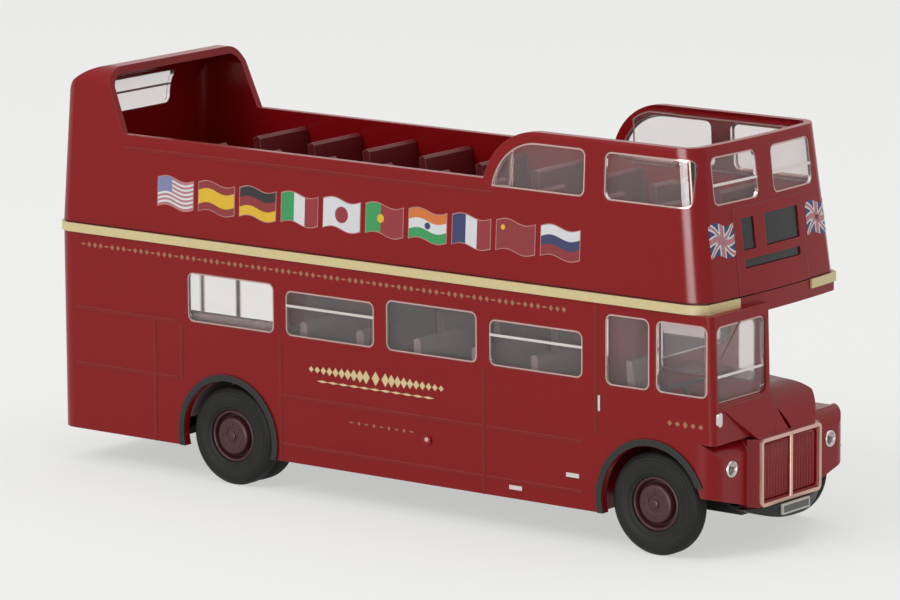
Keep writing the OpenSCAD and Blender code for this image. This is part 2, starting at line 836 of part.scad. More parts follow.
module window_bars() color(silver) {
    pane_y = half - glass_recess;
    for (i = [1, 3], side = [0, 1])
        mirror([0, side, 0])
            block([window_x(i) + bar_gap, pane_y, window_top(i) - 2],
                [window_x(i) + window_w - bar_gap, pane_y + bar_t, window_top(i) - 2 + bar_h]);
    pane_x = cab_face_x(band_z) - glass_recess;
    block([pane_x, -half + 1 + bar_gap, cab_sill_z + 2.2],
        [pane_x + bar_t, cab_in_y - 0.6 - bar_gap, cab_sill_z + 2.2 + bar_h]);
    intersection() {
        difference() {
            upper_bow(glass_recess - bar_t);
            upper_bow(glass_recess);
        }
        for (side = [0, 1])
            mirror([0, side, 0]) bar_across(screen_post, screen_edge, screen_sill_z + 2.2);
        block([canopy_x - 6, -half, deck_z], [front_x, half, dome_z]);
    }
    intersection() {
        difference() {
            across(-half, half) upper_hollow_outline(glass_recess - bar_t);
            across(-half - over, half + over) upper_hollow_outline(glass_recess);
        }
        bar_across(-rear_window_w / 2, rear_window_w / 2, rear_window_z[0] + 2.2);
        block([rear_x - over, -half, deck_z], [rear_x + 5, half, dome_z]);
    }
}

module destination_blinds() color(black)
    intersection() {
        blind_shapes(glass_gap);
        difference() {
            upper_leaning(0.1);
            upper_leaning(blind_depth);
        }
    }

// Stairwell in the upper floor, at the rear offside corner
stair_x = rear_x + 6.6;
stair_y = -half + wall + 5;
stair_r = 4.7;

module upper_floor() color(maroon) difference() {
    union() {
        raised(deck_z, upper_z)
            intersection() {
                translate([rear_x + 0.6, -half + 0.35]) square([canopy_x - rear_x - 1.2, 2 * half - 0.7]);
                union() {
                    saloon_band(0.35);
                    canopy_band(0.35);
                }
            }
        raised(upper_z, upper_z + upper_floor_t)
            union() {
                saloon_band(wall + 0.3);
                canopy_band(wall + 0.9);
            }
    }
    translate([stair_x, stair_y, deck_z - over]) cylinder(r = stair_r + 0.15, h = 5);
}

// Double seat facing forward: back edge at x, window edge at y, standing on z
seat_base_w = 0.8;
module double_seat(x, y, z, back_h) {
    across(y, y + seat_w)
        polygon([[x + 0.4, z], [x + 4.6, z], [x + 4.6, z + cushion_h - 0.5], [x + 4.2, z + cushion_h],
            [x + 1.6, z + cushion_h - 0.3], [x + 1, z + back_h - 0.3], [x + 0.6, z + back_h],
            [x, z + back_h - 0.3], [x + 0.4, z + cushion_h]]);
}

upper_rows = 9;
upper_row_x = rear_axle_x - 9.4;
seat_gap = 0.25;
// Gangway edge of the upper seats, whose backs clear the leaning side
upper_seat_y = upper_half - wall - (seam + upper_floor_t + seat_h) * tan(tumblehome) - seat_gap - seat_w;

module upper_seats() color(maroon)
    for (i = [0 : upper_rows - 1], side = [0, 1])
        mirror([0, side, 0])
            double_seat(upper_row_x + i * seat_pitch, upper_seat_y, upper_z + upper_floor_t, seat_h);

wheel_box_z = axle_z + arch_r + 0.9;

module lower_floor() color(grey) difference() {
    union() {
        block([platform_x, -half + wall + 0.1, floor_z - 0.8],
            [bulkhead_x - wall - 0.1, half - wall - 0.1, floor_z]);
        intersection() {
            raised(platform_z - 0.8, floor_z) saloon_plan(wall + 0.1);
            union() {
                block([rear_x, -half, platform_z - 0.8], [platform_x + 0.8, half, platform_z]);
                block([platform_x, -half, platform_z - 0.8], [platform_x + 0.8, half, floor_z]);
            }
        }
        for (side = [0, 1])
            mirror([0, side, 0])
                block([rear_axle_x - 8, wheel_box_y, floor_z - 0.5],
                    [rear_axle_x + 8, half - wall - 0.1, wheel_box_z]);
    }
    for (side = [0, 1])
        mirror([0, side, 0]) cross_bar(rear_axle_x, axle_z, arch_r, wheel_box_y + wheel_box_t, half + over);
}

lower_rows = 5;
lower_row_x = rear_axle_x + 10;

module lower_seats() color(grey) {
    for (i = [0 : lower_rows - 1], side = [0, 1])
        mirror([0, side, 0])
            double_seat(lower_row_x + i * seat_pitch, half - wall - glass_t - seat_gap - seat_w, floor_z,
                seat_h + 4);
    // Long benches over the rear wheel boxes
    for (side = [0, 1])
        mirror([0, side, 0])
            along(rear_axle_x - 7.8, rear_axle_x + 7.8)
                polygon([[wheel_box_y + 0.2, wheel_box_z], [half - wall - glass_t - seat_gap, wheel_box_z],
                    [half - wall - glass_t - seat_gap, wheel_box_z + 6.5],
                    [half - wall - glass_t - seat_gap - 0.9, wheel_box_z + 6.5],
                    [half - wall - glass_t - seat_gap - 1.2, wheel_box_z + 1.4],
                    [wheel_box_y + 0.2, wheel_box_z + 1.2]]);
}

stair_steps = 9;
// Turn from one step to the next, in degrees
stair_turn = 30;
// Height by which each step reaches into the next
stair_lap = 0.25;
stair_post_r = 0.7;

module staircase() color(maroon) {
    rise = (upper_z - platform_z) / stair_steps;
    run = stair_r - 0.5;
    wide = run * tan(stair_turn / 2) + 0.2;
    translate([stair_x, stair_y, platform_z]) {
        cylinder(r = stair_post_r, h = upper_z - platform_z);
        for (i = [0 : stair_steps - 1])
            translate([0, 0, i * rise]) rotate([0, 0, 90 - i * stair_turn])
                linear_extrude(rise + (i < stair_steps - 1 ? stair_lap : 0))
                    polygon([[0.1, -0.3], [run, -wide], [run, wide], [0.1, 0.3]]);
    }
}

module platform_pole() color(silver)
    translate([body_rear_x + 1.4, half - 1.6, platform_z]) cylinder(r = 0.35, h = canopy_z - 0.6 - platform_z);

module driver_seat() color(grey)
    across(cab_mid_y - 2.75, cab_mid_y + 2.75)
        polygon([[front_axle_x - 4.6, cab_floor_z], [front_axle_x - 1, cab_floor_z],
            [front_axle_x - 0.8, cab_floor_z + 3], [front_axle_x - 3.6, cab_floor_z + 2.8],
            [front_axle_x - 4.4, cab_floor_z + 7.5], [front_axle_x - 5.2, cab_floor_z + 7.5]]);

module steering_wheel() color(black)
    translate([front_axle_x + 2.4, cab_mid_y, cab_floor_z + 0.12]) rotate([0, -18, 0]) {
        cylinder(r = 0.35, h = 5.4);
        translate([0, 0, 5.2]) {
            rotate_extrude() translate([2.1, 0]) circle(0.25, $fn = 24);
            block([-2.1, -0.2, -0.15], [2.1, 0.2, 0.15]);
            block([-0.2, -2.1, -0.15], [0.2, 2.1, 0.15]);
        }
    }

module chassis() color(black) difference() {
    union() {
        block([rear_axle_x - arch_r, -frame_half, pan_z], [bumper_back_x, frame_half, bumper_z[1]]);
        block([rear_axle_x - arch_r, -frame_half, pan_z], [wing_back_x - 0.5, frame_half, frame_top_z]);
        block([rear_axle_x + arch_r + 0.7, -half + wall + 0.1, floor_z - 2.6],
            [bulkhead_x - wall - 0.1, half - wall - 0.1, frame_top_z]);
        raised(platform_z - 1.8, platform_z - 0.8)
            intersection() {
                saloon_plan(wall + 0.1);
                union() {
                    translate([rear_x, -half]) square([rear_axle_x - arch_r - 0.5 - rear_x, 2 * half]);
                    translate([rear_x, -frame_half]) square([rear_axle_x - rear_x, 2 * frame_half]);
                }
            }
    }
    for (x = [rear_axle_x, front_axle_x])
        cross_bar(x, axle_z, axle_r + axle_fit, -half, half);
}

module rear_lamp() color("darkred")
    translate([body_rear_x - 0.2, -half + 3.2, 16.5]) rotate([0, 90, 0]) cylinder(r = 0.6, h = 0.2);

module filler_cap() color(silver)
    cross_bar(window_x(2) + 6, 9.3, 0.6, -half - 0.2, -half);

module step_plates() color(silver)
    for (p = [[bulkhead_x - 11.4, 5.2], [bulkhead_x - 3.4, 7.7]])
        block([p[0] - 0.9, -half - 0.2, p[1]], [p[0] + 0.9, -half, p[1] + 0.5]);

module door_handle() color(silver)
    block([bulkhead_x + 0.1, -half - 0.2, 15.8], [bulkhead_x + 0.4, -half, 17.6]);

module tyre(y, count) {
    for (k = [0 : count - 1])
        translate([0, y - k * (tyre_w + twin_gap), 0]) rotate([90, 0, 0])
            rotate_extrude($fn = 96)
                difference() {
                    rounded(rim_r, 0, tyre_r, tyre_w, 0.7);
                    translate([rim_r - over, -over]) square([over, tyre_w + 2 * over]);
                }
}

// Rims: set back from the tyre's face, with a hub cap closed over the axle's end
rim_set = 0.3;
rim_lip = 0.6;
hub_r = 1.6;
hub_cap = 0.5;

module rim(width, dish) {
    translate([0, tyre_y - rim_set, 0]) rotate([90, 0, 0]) difference() {
        cylinder(r = rim_r, h = width - rim_set);
        translate([0, 0, hub_cap]) cylinder(r = axle_r, h = width);
        translate([0, 0, -over]) difference() {
            cylinder(r = rim_r - rim_lip, h = over + dish);
            cylinder(r = hub_r, h = over + dish);
        }
    }
}

module front_wheel_place(side) {
    translate([front_axle_x, 0, axle_z]) mirror([0, side, 0]) children();
}

module rear_wheel_place(side) {
    translate([rear_axle_x, 0, axle_z]) mirror([0, side, 0]) children();
}

module axle(x) {
    cross_bar(x, axle_z, axle_r, rim_set + hub_cap - tyre_y, tyre_y - rim_set - hub_cap);
}

module front_axle() color(silver) axle(front_axle_x);
module rear_axle() color(silver) axle(rear_axle_x);
module front_rim_offside() color(maroon) front_wheel_place(1) rim(tyre_w, 0.6);
module front_rim_nearside() color(maroon) front_wheel_place(0) rim(tyre_w, 0.6);
module rear_rim_offside() color(maroon) rear_wheel_place(1) rim(twin_w, 1.4);
module rear_rim_nearside() color(maroon) rear_wheel_place(0) rim(twin_w, 1.4);
module front_tyre_offside() color(black) front_wheel_place(1) tyre(tyre_y, 1);
module front_tyre_nearside() color(black) front_wheel_place(0) tyre(tyre_y, 1);
module rear_tyre_offside() color(black) rear_wheel_place(1) tyre(tyre_y, 2);
module rear_tyre_nearside() color(black) rear_wheel_place(0) tyre(tyre_y, 2);

lower_body();
upper_body();
bonnet();
waist_band();
arch_lips();
grille_slats();
grille_frame();
headlamps();
side_lamp();
front_bumper();
front_plate();
offside_glazing();
nearside_glazing();
cab_glazing();
bulkhead_glazing();
upper_glazing();
rear_window();
destination_blinds();
upper_floor();
upper_seats();
lower_floor();
lower_seats();
staircase();
platform_pole();
driver_seat();
steering_wheel();
chassis();
rear_lamp();
filler_cap();
step_plates();
door_handle();
window_bars();
front_axle();
front_rim_offside();
front_rim_nearside();
front_tyre_offside();
front_tyre_nearside();
rear_axle();
rear_rim_offside();
rear_rim_nearside();
rear_tyre_offside();
rear_tyre_nearside();
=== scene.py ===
"""Looks of a scale model open-top double decker bus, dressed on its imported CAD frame."""

import math

import bmesh
import bpy
from mathutils import Matrix, Vector
from mathutils.bvhtree import BVHTree


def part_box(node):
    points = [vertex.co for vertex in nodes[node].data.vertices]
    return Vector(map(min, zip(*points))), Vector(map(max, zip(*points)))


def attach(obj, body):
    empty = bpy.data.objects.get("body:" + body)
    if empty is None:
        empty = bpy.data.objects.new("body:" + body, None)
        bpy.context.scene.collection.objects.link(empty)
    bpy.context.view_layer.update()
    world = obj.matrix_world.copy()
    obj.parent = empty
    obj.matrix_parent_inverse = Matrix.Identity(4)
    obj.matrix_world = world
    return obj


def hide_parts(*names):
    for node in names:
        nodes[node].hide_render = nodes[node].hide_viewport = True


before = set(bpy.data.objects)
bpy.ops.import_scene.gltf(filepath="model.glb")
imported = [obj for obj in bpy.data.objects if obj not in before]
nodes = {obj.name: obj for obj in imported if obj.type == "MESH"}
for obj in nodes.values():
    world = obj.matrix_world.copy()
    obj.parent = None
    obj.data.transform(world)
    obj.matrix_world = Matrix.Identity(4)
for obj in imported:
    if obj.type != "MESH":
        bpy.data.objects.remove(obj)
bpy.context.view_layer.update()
scene = bpy.context.scene
MM = 0.001
QUARTER_TURN = math.pi / 2

# Directions on the bus
FORWARD = Vector((1, 0, 0))
NEARSIDE = Vector((0, 1, 0))
OFFSIDE = Vector((0, -1, 0))
UP = Vector((0, 0, 1))

# Camera: where it looks, from how far, and the lens that gives the photograph's frame
TARGET = Vector((0.136, 0, 22.735)) * MM
DISTANCE = 662.41 * MM
AZIMUTH = math.radians(37.385)
ELEVATION = math.radians(10.861)
ROLL = math.radians(-0.322)
LENS_MM = 226.81
SENSOR_MM = 36
CLIP_START = 10 * MM


def make_camera():
    """Camera at the photograph's viewing angle."""
    back = Vector((math.sin(AZIMUTH) * math.cos(ELEVATION),
                   -math.cos(AZIMUTH) * math.cos(ELEVATION),
                   math.sin(ELEVATION)))
    right = Vector((math.cos(AZIMUTH), math.sin(AZIMUTH), 0))
    up = back.cross(right)
    data = bpy.data.cameras.new("camera")
    data.lens = LENS_MM
    data.sensor_width = SENSOR_MM
    data.clip_start = CLIP_START
    camera = bpy.data.objects.new("camera", data)
    scene.collection.objects.link(camera)
    turn = Matrix((right, up, back)).transposed() @ Matrix.Rotation(ROLL, 3, "Z")
    camera.matrix_world = Matrix.Translation(TARGET + back * DISTANCE) @ turn.to_4x4()
    scene.camera = camera


def linear(hex_colour, share=1):
    """Linear colour of an sRGB hex value, darkened to a share of its light."""
    parts = [int(hex_colour[i:i + 2], 16) / 255 for i in (1, 3, 5)]
    return [share * (p / 12.92 if p <= 0.04045 else ((p + 0.055) / 1.055) ** 2.4)
            for p in parts] + [1]


def add(tree, kind, values=None, links=None, **settings):
    """One shader node with its settings, socket values and incoming links."""
    new = tree.nodes.new(kind)
    for key, value in settings.items():
        setattr(new, key, value)
    for socket, value in (values or {}).items():
        new.inputs[socket].default_value = value
    for socket, source in (links or {}).items():
        tree.links.new(source, new.inputs[socket])
    return new


def new_finish(name):
    """Empty material with its shader, and the Object coordinates that its patterns read."""
    material = bpy.data.materials.new(name)
    material.use_nodes = True
    tree = material.node_tree
    shader = tree.nodes["Principled BSDF"]
    place = add(tree, "ShaderNodeTexCoord").outputs["Object"]
    return material, tree, shader, place


def per_mm(size):
    """Noise scale, in the frame's metres, whose features are about that many millimetres wide."""
    return 1 / (size * MM)


# Moulded plastic, sizes in millimetres: drift of tone along the melt's flow and the share of the
# colour where it is deepest, grain and depth of the orange peel, and spread of the roughness
FLOW_MM = 16
DEEP_TONE = 0.9
PEEL_MM = 0.45
PEEL_DEPTH_MM = 0.012
GLOSS_SPREAD = (-0.05, 0.07)
ABS_IOR = 1.53
# Painted highlight on the edges: its colour, and the cosine of the surface's turn where it starts
# and is full
EDGE_HIGHLIGHT = "#E8C9C2"
EDGE_HIGHLIGHT_START = 0.995
EDGE_HIGHLIGHT_FULL = 0.8


def moulded(name, colour, rough, specular=0.5, edge_highlight=0.1, edge_mm=0.12):
    """Injection-moulded plastic: a slow drift of tone along the flow of the melt, a faint orange
    peel in the gloss, and edges that are rounded by the mould and painted a little paler as a
    highlight."""
    material, tree, shader, place = new_finish(name)
    flow = add(tree, "ShaderNodeTexNoise", {"Scale": per_mm(FLOW_MM), "Detail": 3},
               {"Vector": place})
    tone = add(tree, "ShaderNodeMix", {6: linear(colour, DEEP_TONE), 7: linear(colour)},
               {0: flow.outputs["Fac"]}, data_type="RGBA")
    soft = add(tree, "ShaderNodeBevel", {"Radius": edge_mm * MM}, samples=4)
    flat = add(tree, "ShaderNodeNewGeometry")
    turn = add(tree, "ShaderNodeVectorMath",
               links={0: soft.outputs[0], 1: flat.outputs["Normal"]}, operation="DOT_PRODUCT")
    # Painted highlight: where the rounded normal turns away from the flat one, the colour is mixed
    # towards a pale tint
    highlit_edges = add(tree, "ShaderNodeMapRange",
               {"From Min": EDGE_HIGHLIGHT_START, "From Max": EDGE_HIGHLIGHT_FULL, "To Max": edge_highlight},
               {"Value": turn.outputs["Value"]})
    pale = add(tree, "ShaderNodeMix", {7: linear(EDGE_HIGHLIGHT)},
               {0: highlit_edges.outputs[0], 6: tone.outputs[2]}, data_type="RGBA")
    tree.links.new(pale.outputs[2], shader.inputs["Base Color"])
    gloss = add(tree, "ShaderNodeMapRange",
                {"To Min": rough + GLOSS_SPREAD[0], "To Max": rough + GLOSS_SPREAD[1]},
                {"Value": flow.outputs["Fac"]})
    tree.links.new(gloss.outputs[0], shader.inputs["Roughness"])
    peel = add(tree, "ShaderNodeTexNoise", {"Scale": per_mm(PEEL_MM), "Detail": 2},
               {"Vector": place})
    bump = add(tree, "ShaderNodeBump", {"Strength": 0.25, "Distance": PEEL_DEPTH_MM * MM},
               {"Height": peel.outputs["Fac"], "Normal": soft.outputs[0]})
    tree.links.new(bump.outputs[0], shader.inputs["Normal"])
    shader.inputs["IOR"].default_value = ABS_IOR
    shader.inputs["Specular IOR Level"].default_value = specular
    return material


# Tyre vinyl, sizes in millimetres: patches of dust and their colour, the surface's grit, which is
# drawn coarse enough to show, and the roughness from the bare to the dusty parts
DUST_MM = 2.5
DUSTY = "#282725"
GRIT_MM = 0.2
GRIT_DEPTH_MM = 0.01
VINYL_ROUGH = (0.5, 0.72)
VINYL_SPECULAR = 0.2
VINYL_IOR = 1.52


def vinyl(name, colour):
    """Soft black vinyl of the model's tyres: matt, dusty grey on the rubbed high spots."""
    material, tree, shader, place = new_finish(name)
    dust = add(tree, "ShaderNodeTexNoise",
               {"Scale": per_mm(DUST_MM), "Detail": 6, "Roughness": 0.65}, {"Vector": place})
    tone = add(tree, "ShaderNodeMix", {6: linear(colour), 7: linear(DUSTY)},
               {0: dust.outputs["Fac"]}, data_type="RGBA")
    tree.links.new(tone.outputs[2], shader.inputs["Base Color"])
    rub = add(tree, "ShaderNodeMapRange", {"To Min": VINYL_ROUGH[0], "To Max": VINYL_ROUGH[1]},
              {"Value": dust.outputs["Fac"]})
    tree.links.new(rub.outputs[0], shader.inputs["Roughness"])
    grit = add(tree, "ShaderNodeTexNoise", {"Scale": per_mm(GRIT_MM), "Detail": 3},
               {"Vector": place})
    bump = add(tree, "ShaderNodeBump", {"Strength": 0.3, "Distance": GRIT_DEPTH_MM * MM},
               {"Height": grit.outputs["Fac"]})
    tree.links.new(bump.outputs[0], shader.inputs["Normal"])
    shader.inputs["IOR"].default_value = VINYL_IOR
    shader.inputs["Specular IOR Level"].default_value = VINYL_SPECULAR
    return material


# Printed ink, sizes in millimetres: break-up of the film, drawn coarse enough to show, its depth,
# the share of the colour where it is thin, and its roughness
FILM_MM = 0.6
FILM_DEPTH_MM = 0.006
THIN_TONE = 0.86
INK_ROUGH = 0.42


def printed(name, colour):
    """Pad-printed ink: an even satin film whose tone breaks up where the pad left it thin."""
    material, tree, shader, place = new_finish(name)
    film = add(tree, "ShaderNodeTexNoise", {"Scale": per_mm(FILM_MM), "Detail": 4},
               {"Vector": place})
    tone = add(tree, "ShaderNodeMix", {6: linear(colour, THIN_TONE), 7: linear(colour)},
               {0: film.outputs["Fac"]}, data_type="RGBA")
    tree.links.new(tone.outputs[2], shader.inputs["Base Color"])
    bump = add(tree, "ShaderNodeBump", {"Strength": 0.2, "Distance": FILM_DEPTH_MM * MM},
               {"Height": film.outputs["Fac"]})
    tree.links.new(bump.outputs[0], shader.inputs["Normal"])
    shader.inputs["Roughness"].default_value = INK_ROUGH
    return material


# Foil and wire: width of the streaks in millimetres, the stretch that draws them out, and the
# spread of the roughness
STREAK_MM = 0.25
STREAK_STRETCH = (0.15, 0.15, 1)
STREAK_SPREAD = (-0.08, 0.12)


def bright_metal(name, colour, rough):
    """Hot-stamped foil or drawn wire: bright, with fine streaks that break up its reflections."""
    material, tree, shader, place = new_finish(name)
    stretch = add(tree, "ShaderNodeMapping", {"Scale": STREAK_STRETCH}, {"Vector": place})
    streak = add(tree, "ShaderNodeTexNoise", {"Scale": per_mm(STREAK_MM), "Detail": 4},
                 {"Vector": stretch.outputs[0]})
    gloss = add(tree, "ShaderNodeMapRange",
                {"To Min": rough + STREAK_SPREAD[0], "To Max": rough + STREAK_SPREAD[1]},
                {"Value": streak.outputs["Fac"]})
    tree.links.new(gloss.outputs[0], shader.inputs["Roughness"])
    shader.inputs["Base Color"].default_value = linear(colour)
    shader.inputs["Metallic"].default_value = 1
    return material


# Clear styrene: ripple of the panes in millimetres, and optics matched to such thin mouldings
RIPPLE_MM = 6
RIPPLE_DEPTH_MM = 0.03
PANE_ROUGH = 0.04
PANE_CLEAR = 0.95
PANE_IOR = 1.3


def clear_styrene(name, colour):
    """Crystal polystyrene: clear with a slight haze, and the faint ripple of thin mouldings."""
    material, tree, shader, place = new_finish(name)
    ripple = add(tree, "ShaderNodeTexNoise", {"Scale": per_mm(RIPPLE_MM), "Detail": 1},
                 {"Vector": place})
    bump = add(tree, "ShaderNodeBump", {"Strength": 0.25, "Distance": RIPPLE_DEPTH_MM * MM},
               {"Height": ripple.outputs["Fac"]})
    tree.links.new(bump.outputs[0], shader.inputs["Normal"])
    shader.inputs["Base Color"].default_value = linear(colour)
    shader.inputs["Roughness"].default_value = PANE_ROUGH
    shader.inputs["Transmission Weight"].default_value = PANE_CLEAR
    shader.inputs["IOR"].default_value = PANE_IOR
    return material


# Body shells: deep red with a soft gloss
red_abs = moulded("red_moulded_abs", "#8C0E13", 0.24, specular=0.2, edge_highlight=0.12)
# Open deck: darker and duller, with a painted highlight that makes the tops of the seats paler
maroon_abs = moulded("maroon_moulded_abs", "#64191E", 0.42, specular=0.3, edge_highlight=0.4)
# Wheel centres: dark and satin
rim_abs = moulded("dark_maroon_moulded_abs", "#4A2025", 0.42, specular=0.35, edge_highlight=0.12,
                  edge_mm=0.05)
# Lower saloon: a warm grey, dull behind the panes
grey_abs = moulded("grey_moulded_abs", "#796765", 0.5)
# Chassis, bumper and arch lips: soft satin black
black_abs = moulded("black_moulded_abs", "#1C1D1C", 0.42, specular=0.35)
# Blank blinds: black with a wet gloss
blind_black = moulded("gloss_black_blind", "#111416", 0.22, specular=0.4)
# Rear lamp: bright glossy red
lamp_red = moulded("red_lamp_moulding", "#B01318", 0.16)
# Tyres: matt and dusty
tyre_vinyl = vinyl("black_tyre_vinyl", "#131312")
# Band and ornaments: satin cream, and a dull gold with no glint of metal
cream_ink = printed("cream_pad_print", "#DBC994")
gold_ink = printed("gold_pad_print", "#A37148")
# Blank plate: a pale edge round a grey field
plate_rim = printed("pale_plate_print", "#C9C7C0")
plate_field = printed("grey_plate_print", "#5B5A59")
# Lamps and rails, window rims, and grille frame: bright foils that take a red cast from the body
silver_foil = bright_metal("silver_hot_foil", "#D9D0CC", 0.3)
rose_foil = bright_metal("pale_rose_foil", "#C4A39C", 0.36)
copper_foil = bright_metal("pale_copper_foil", "#D3AFA0", 0.38)
# Axles: bright wire, streaked by the drawing
axle_steel = bright_metal("drawn_steel_wire", "#A8A6A2", 0.3)
# Panes: clear and a little hazy
glazing = clear_styrene("clear_moulded_styrene", "#F3EEEE")

FINISHES = {
    red_abs: ["lower_body", "upper_body", "bonnet", "grille_slats", "filler_cap"],
    maroon_abs: ["upper_floor", "upper_seats", "staircase"],
    rim_abs: ["front_rim_offside", "front_rim_nearside", "rear_rim_offside", "rear_rim_nearside"],
    grey_abs: ["lower_floor", "lower_seats", "driver_seat"],
    black_abs: ["arch_lips", "front_bumper", "chassis", "steering_wheel"],
    blind_black: ["destination_blinds"],
    tyre_vinyl: ["front_tyre_offside", "front_tyre_nearside", "rear_tyre_offside",
                 "rear_tyre_nearside"],
    cream_ink: ["waist_band"],
    copper_foil: ["grille_frame"],
    silver_foil: ["headlamps", "side_lamp", "platform_pole", "step_plates", "door_handle",
                  "window_bars"],
    axle_steel: ["front_axle", "rear_axle"],
    glazing: ["offside_glazing", "nearside_glazing", "cab_glazing", "bulkhead_glazing",
              "upper_glazing", "rear_window"],
    lamp_red: ["rear_lamp"],
    plate_rim: ["front_plate"],
}
for finish, names in FINISHES.items():
    for name in names:
        nodes[name].data.materials.clear()
        nodes[name].data.materials.append(finish)

# Edges of a smooth piece that turn by more than this stay sharp
SHARP_ANGLE = math.radians(35)


def piece(name, bm, finishes, body="bus", replaces=(), smooth=False):
    """Object of a finished mesh that rides on a body. A smooth one keeps its sharp edges."""
    mesh = bpy.data.meshes.new(name)
    for f in bm.faces:
        f.smooth = smooth
    bm.to_mesh(mesh)
    bm.free()
    if smooth:
        mesh.set_sharp_from_angle(angle=SHARP_ANGLE)
    for material in finishes:
        mesh.materials.append(material)
    new = bpy.data.objects.new(name, mesh)
    scene.collection.objects.link(new)
    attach(new, body)
    if replaces:
        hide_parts(*replaces)


def corners(node):
    """Lowest and highest corner of a CAD node."""
    return [Vector(corner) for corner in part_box(node)]


def everything(bm):
    """All the geometry of a mesh."""
    return bm.faces[:] + bm.edges[:] + bm.verts[:]


def surface(node):
    """Search tree of a CAD node's surface."""
    bm = bmesh.new()
    bm.from_mesh(nodes[node].data)
    tree = BVHTree.FromBMesh(bm)
    bm.free()
    return tree


SURFACES = {name: surface(name) for name in ("lower_body", "upper_body")}
# How far outside its place a sheet starts before it is laid on its carrier
SETTLE_REACH = 8 * MM


def settle(bm, carrier, inward, lift, thick):
    """Lay a flat sheet on a carrier, a little proud of it, and give it its thickness."""
    for v in bm.verts:
        hit = SURFACES[carrier].ray_cast(v.co - inward * SETTLE_REACH, inward)[0]
        if hit is not None:
            v.co = hit - inward * lift
    bm.normal_update()
    bmesh.ops.reverse_faces(bm, faces=[f for f in bm.faces if f.normal.dot(inward) > 0])
    bmesh.ops.solidify(bm, geom=everything(bm), thickness=thick)


# Foil rims on the edges of the panes: width, and how proud they stand
RIM_W = 0.17 * MM
RIM_PROUD = 0.04 * MM
# A pane's face shows where it looks outwards by this share and no wall is this near in front of it
LOOKS_OUT = 0.6
HIDDEN_REACH = 1.6 * MM
FACE_STEP = 0.01 * MM
# Points of a pane this near are one, and corners tighter than this get no mitre
PANE_WELD = 0.002 * MM
MITRE_LIMIT = 0.5


def pane_rims(name, node, facing, carrier):
    """Thin frames along the outer edges of the panes that show through a carrier's openings."""
    bm = bmesh.new()
    bm.from_mesh(nodes[node].data)
    bmesh.ops.remove_doubles(bm, verts=bm.verts, dist=PANE_WELD)
    hidden = []
    for f in bm.faces:
        start = f.calc_center_median() + facing * FACE_STEP
        wall = SURFACES[carrier].ray_cast(start, facing, HIDDEN_REACH)[0]
        if wall is not None or f.normal.dot(facing) < LOOKS_OUT:
            hidden.append(f)
    bmesh.ops.delete(bm, geom=hidden, context="FACES")
    panes = bm.faces[:]
    edges = [e for e in bm.edges if e.is_boundary]
    inward = {v: Vector() for e in edges for v in e.verts}
    for e in edges:
        face = e.link_faces[0]
        across = face.normal.cross(e.verts[1].co - e.verts[0].co).normalized()
        if across.dot(face.calc_center_median() - e.verts[0].co) < 0:
            across.negate()
        for v in e.verts:
            inward[v] += across
    made = bmesh.ops.extrude_edge_only(bm, edges=edges)["geom"]
    for v in made:
        if isinstance(v, bmesh.types.BMVert):
            root = next(e.other_vert(v) for e in v.link_edges if e.other_vert(v) in inward)
            step = inward[root]
            if step.length_squared > MITRE_LIMIT:
                v.co += step * (2 * RIM_W / step.length_squared)
    bmesh.ops.delete(bm, geom=panes, context="FACES")
    bmesh.ops.recalc_face_normals(bm, faces=bm.faces)
    bmesh.ops.reverse_faces(bm, faces=[f for f in bm.faces if f.normal.dot(facing) < 0])
    bmesh.ops.solidify(bm, geom=everything(bm), thickness=-RIM_PROUD)
    piece(name, bm, [rose_foil])


pane_rims("offside_window_rims", "offside_glazing", OFFSIDE, "lower_body")
pane_rims("nearside_window_rims", "nearside_glazing", NEARSIDE, "lower_body")
pane_rims("cab_side_rims", "cab_glazing", OFFSIDE, "lower_body")
pane_rims("windscreen_rim", "cab_glazing", FORWARD, "lower_body")
pane_rims("upper_offside_rims", "upper_glazing", OFFSIDE, "upper_body")
pane_rims("upper_nearside_rims", "upper_glazing", NEARSIDE, "upper_body")
pane_rims("upper_front_rims", "upper_glazing", FORWARD, "upper_body")

# Print: thickness of a film of ink, and where a sheet is drawn before it is laid on the bus
INK_LIFT = 0.02 * MM
UPPER_SIDE_Y = 13.7 * MM
LOWER_SIDE_Y = 13.75 * MM
UPPER_FRONT_X = 48 * MM

# Row of national flags on the upper side: first rear edge, pitch, size and wave of the cloth
FLAG_X = -32.9 * MM
FLAG_PITCH = 6.24 * MM
FLAG_L = 5.35 * MM
FLAG_H = 3.3 * MM
FLAG_TOP_Z = 35.85 * MM
FLAG_WAVE = 0.3 * MM
FLAG_OUTLINE = 0.1 * MM
FLAG_COLUMNS = 20

INKS = {
    "white": "#DEDEE2", "red": "#962029", "scarlet": "#8E1F22", "navy": "#2C3565",
    "green": "#2E9A55", "yellow": "#E6B91E", "black": "#1A1A1D", "orange": "#D9742C",
    "rose": "#B8767C", "lilac": "#7F84AE", "outline": "#C08883",
}
inks = {name: printed(name + "_flag_ink", colour) for name, colour in INKS.items()}
ink_list = list(inks.values())
ink_index = {name: i for i, name in enumerate(inks)}

